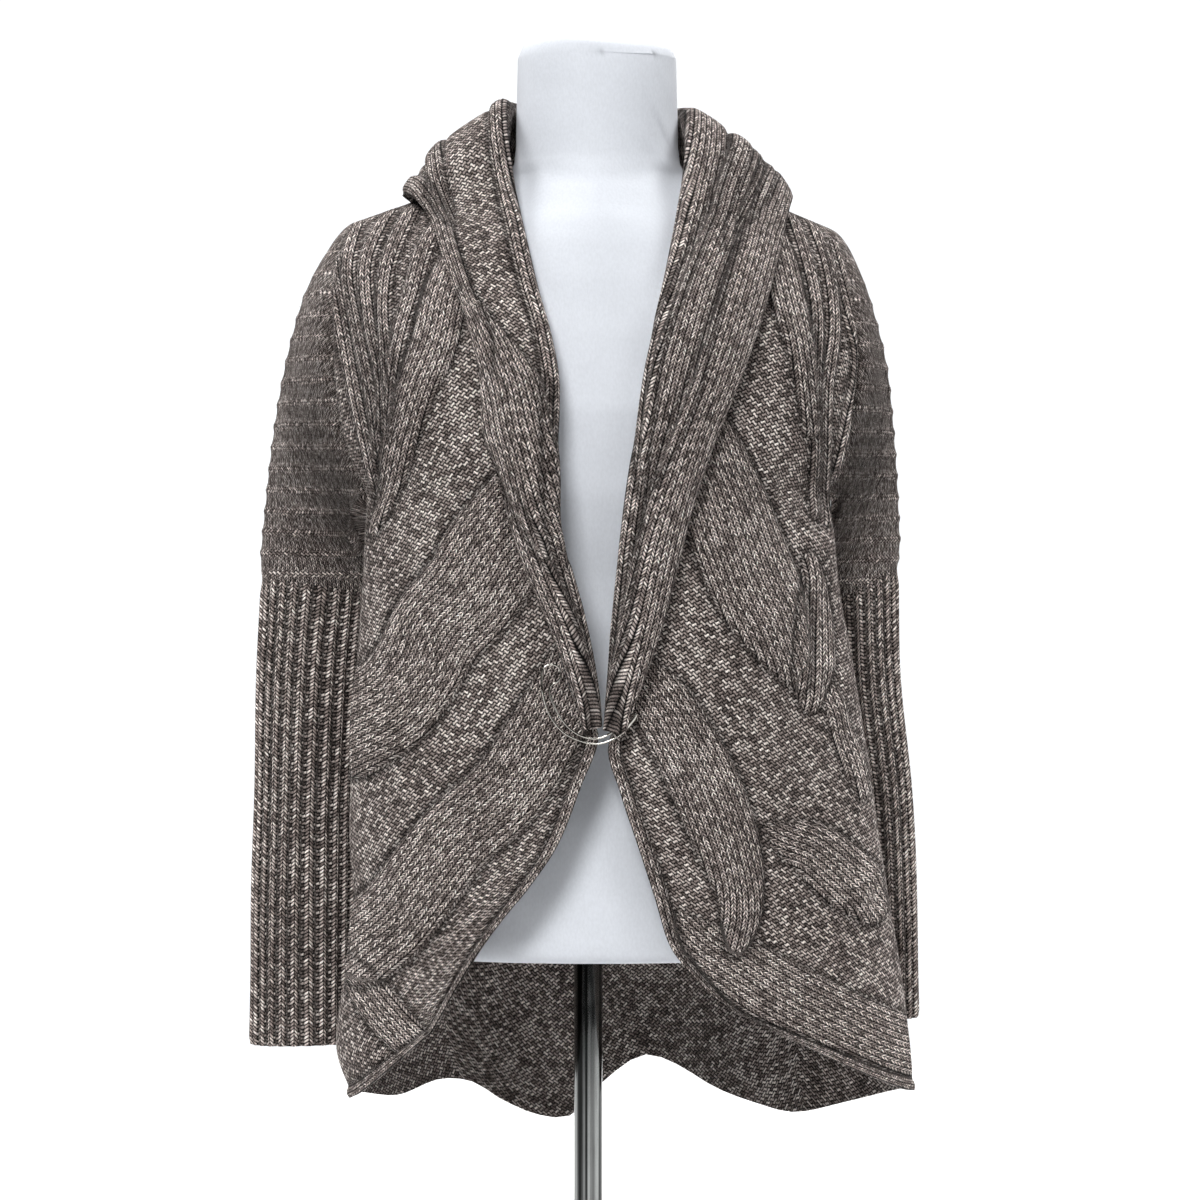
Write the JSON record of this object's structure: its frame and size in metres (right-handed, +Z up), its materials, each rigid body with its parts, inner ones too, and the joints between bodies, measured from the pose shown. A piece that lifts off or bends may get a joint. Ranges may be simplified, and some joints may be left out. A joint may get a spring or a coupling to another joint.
{
  "type": "cardigan on a dress form",
  "caption": "Open-front cable-knit cardigan with a shawl collar and long ribbed sleeves, closed by a curved pin, on a limbless dress form with a post and a round base.",
  "frame": {"origin": "centre of the stand's round base at its underside", "axes": "+Z up; the cardigan's front faces -Y; +X is to the right of someone who looks at its front"},
  "size_m": [0.5025, 0.2859, 0.936],
  "materials": {
    "wool_knit": "matte, fuzzy melange wool knit",
    "form_jersey": "smooth white jersey cover",
    "stand_chrome": "polished",
    "pin_steel": "bright drawn wire"
  },
  "bodies": {
    "root": {"front_left": "wool_knit", "front_right": "wool_knit", "back": "wool_knit", "collar_left": "wool_knit", "collar_right": "wool_knit", "sleeve_upper_left": "wool_knit", "sleeve_upper_right": "wool_knit", "sleeve_rib_left": "wool_knit", "sleeve_rib_right": "wool_knit", "dress_form": "form_jersey", "stand_post": "stand_chrome", "stand_base": "stand_chrome", "pin": "pin_steel"}
  },
  "joints": []
}
